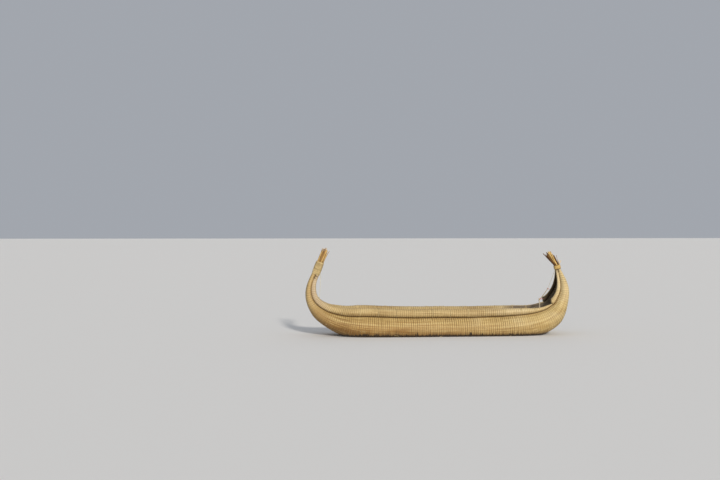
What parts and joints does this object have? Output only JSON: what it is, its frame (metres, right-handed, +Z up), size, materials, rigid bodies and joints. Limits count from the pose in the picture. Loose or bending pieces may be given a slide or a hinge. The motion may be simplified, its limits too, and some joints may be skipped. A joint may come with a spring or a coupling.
{
  "type": "reed boat",
  "caption": "Bundled reed boat with paired main rolls, slim gunwale rolls and tall upturned ends bound with rope and finished with fanned reed tips.",
  "frame": {"origin": "middle of the length and width on the flat underside of the main rolls, 0.22 m below the waterline", "axes": "+X towards the bow, -Y starboard, +Y port, +Z up"},
  "size_m": [7.4331, 1.4822, 2.6927],
  "materials": {
    "reed": "dry bound reeds, straw gold, dark and wet near the waterline",
    "reed_pale": "dry bound reeds, paler",
    "reed_brown": "weathered reed tips",
    "rope": "twisted grass rope",
    "cord": "thin pale cord",
    "peg_wood": "peeled pale stick",
    "mat": "woven flattened reeds"
  },
  "bodies": {
    "root": {"starboard_main_bundle": "reed", "port_main_bundle": "reed", "heart_bundle": "reed", "starboard_gunwale_bundle": "reed_pale", "port_gunwale_bundle": "reed_pale", "starboard_neck_roll": "reed_pale", "port_neck_roll": "reed_pale", "stern_neck_wrap": "rope", "bow_neck_wrap": "rope", "stern_reed_tuft": "reed_brown", "bow_reed_tuft": "reed_brown", "bow_stay_peg": "peg_wood", "bow_stay": "cord", "stern_stay": "cord", "floor_mat": "mat", "starboard_gunwale_ties": "cord", "port_gunwale_ties": "cord"}
  },
  "joints": []
}
